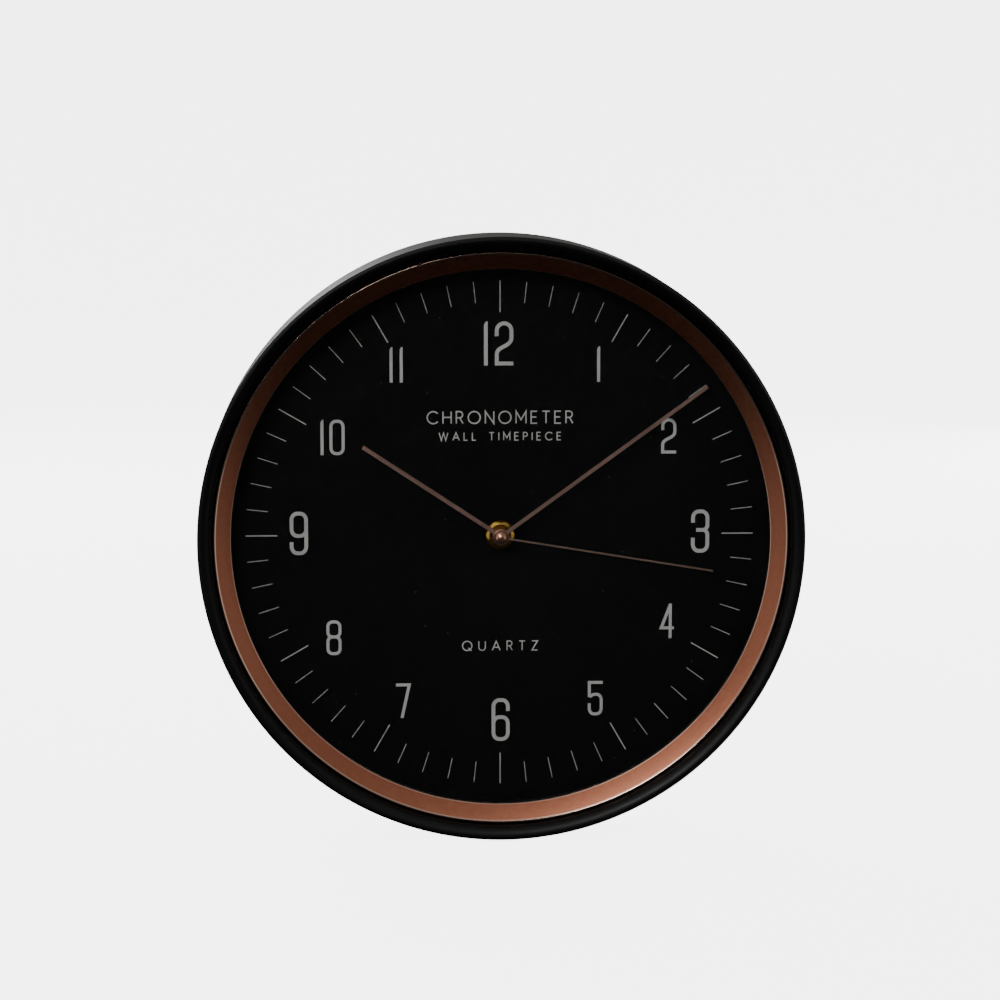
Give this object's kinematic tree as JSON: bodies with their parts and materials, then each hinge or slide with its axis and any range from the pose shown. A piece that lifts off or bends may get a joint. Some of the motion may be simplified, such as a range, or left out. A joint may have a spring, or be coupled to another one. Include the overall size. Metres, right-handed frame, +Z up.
{
  "type": "wall clock",
  "caption": "Round quartz wall clock: black rimmed case, copper inner bezel, flat glass, black dial with numerals, slim hands and a battery movement with gear train.",
  "frame": {"origin": "on the wall plane, on the axis of the dial and hands", "axes": "+Z up; the dial faces -Y and +Y points into the wall; +X is to the right of a person who faces the clock. A positive turn about +Y is clockwise as read on the dial"},
  "size_m": [0.3, 0.05, 0.3],
  "materials": {
    "case_black": "fine satin black moulding",
    "copper": "brushed copper-coloured spun metal, lacquered",
    "lens_glass": "polished flat mineral glass",
    "gasket_foam": "matt black foam",
    "dial_black": "matt black printed card",
    "back_plastic": "matt black moulding, fine grain",
    "screw_zinc": "zinc-plated steel",
    "hanger_steel": "zinc-plated sheet steel",
    "movement_plastic": "moulded black ABS",
    "brass": "turned brass, lacquered",
    "gear_acetal": "natural white acetal",
    "gear_dark": "dark acetal",
    "spring_steel": "bright spring steel",
    "magnet": "sintered magnet",
    "stator_iron": "annealed soft iron",
    "winding": "enamelled copper wire",
    "bobbin_nylon": "natural nylon",
    "board": "brown phenolic circuit board",
    "epoxy": "black epoxy",
    "crystal_can": "bright nickel-plated can",
    "knob_plastic": "grey moulded plastic",
    "battery_steel": "nickel-plated steel",
    "battery_film": "glossy printed film",
    "hand_copper": "copper-coloured satin lacquer on aluminium"
  },
  "bodies": {
    "clock": {"case_rim": "case_black", "bezel_ring": "copper", "lens_gasket": "gasket_foam", "lens": "lens_glass", "spacer_ring": "back_plastic", "dial": "dial_black", "back_plate": "back_plastic", "back_screws": "screw_zinc", "hanger_bracket": "hanger_steel", "hanger_screws": "screw_zinc", "movement_case": "movement_plastic", "movement_cover": "movement_plastic", "threaded_bush": "brass", "nut_washer": "brass", "hex_nut": "brass", "motion_clip": "spring_steel", "stator": "stator_iron", "coil_core": "stator_iron", "coil_bobbin": "bobbin_nylon", "coil_winding": "winding", "circuit_board": "board", "chip_blob": "epoxy", "quartz_crystal": "crystal_can", "positive_contact": "spring_steel", "negative_contact": "spring_steel"},
    "second": {"second_wheel": "gear_acetal", "second_hand": "hand_copper", "hand_cap": "hand_copper"},
    "minute": {"minute_arbor": "gear_dark", "clutch_spring": "spring_steel", "minute_hand": "hand_copper"},
    "hour": {"hour_wheel": "gear_acetal", "hour_hand": "hand_copper"},
    "centre": {"centre_wheel": "gear_acetal"},
    "third": {"third_wheel": "gear_acetal"},
    "intermediate": {"intermediate_wheel": "gear_dark"},
    "rotor": {"rotor_pinion": "gear_dark", "rotor_magnet": "magnet"},
    "motion": {"motion_wheel": "gear_acetal"},
    "knob": {"setting_knob": "knob_plastic"},
    "battery": {"battery_cell": "battery_steel", "battery_sleeve": "battery_film"}
  },
  "joints": [
    {"name": "minute_spin", "type": "hinge", "parent": "clock", "child": "minute", "pos_m": [0, 0, 0], "axis": [0, 1, 0], "continuous": true},
    {"name": "second_spin", "type": "hinge", "parent": "clock", "child": "second", "pos_m": [0, 0, 0], "axis": [0, 1, 0], "continuous": true},
    {"name": "hour_spin", "type": "hinge", "parent": "clock", "child": "hour", "pos_m": [0, 0, 0], "axis": [0, 1, 0], "continuous": true},
    {"name": "motion_spin", "type": "hinge", "parent": "clock", "child": "motion", "pos_m": [-0.00167, 0, 0.00945], "axis": [0, 1, 0], "continuous": true},
    {"name": "knob_spin", "type": "hinge", "parent": "clock", "child": "knob", "pos_m": [-0.002, 0, 0.01905], "axis": [0, 1, 0], "continuous": true},
    {"name": "intermediate_spin", "type": "hinge", "parent": "clock", "child": "intermediate", "pos_m": [0.0115, 0, 0.00419], "axis": [0, 1, 0], "continuous": true},
    {"name": "rotor_spin", "type": "hinge", "parent": "clock", "child": "rotor", "pos_m": [0.0145, 0, 0.00938], "axis": [0, 1, 0], "continuous": true},
    {"name": "third_spin", "type": "hinge", "parent": "clock", "child": "third", "pos_m": [-0.01029, 0, 0.00594], "axis": [0, 1, 0], "continuous": true},
    {"name": "centre_spin", "type": "hinge", "parent": "clock", "child": "centre", "pos_m": [0, 0, 0], "axis": [0, 1, 0], "continuous": true},
    {"name": "battery_slide", "type": "slide", "parent": "clock", "child": "battery", "axis": [0, 1, 0], "range_m": [0, 0.03]}
  ],
  "couplings": [
    {"joint": "hour_spin", "follows": "minute_spin", "ratio": 0.083333},
    {"joint": "motion_spin", "follows": "minute_spin", "ratio": -0.33333},
    {"joint": "knob_spin", "follows": "minute_spin", "ratio": 1},
    {"joint": "intermediate_spin", "follows": "second_spin", "ratio": -7.5},
    {"joint": "rotor_spin", "follows": "second_spin", "ratio": 30},
    {"joint": "third_spin", "follows": "second_spin", "ratio": -0.13333},
    {"joint": "centre_spin", "follows": "second_spin", "ratio": 0.016667}
  ]
}
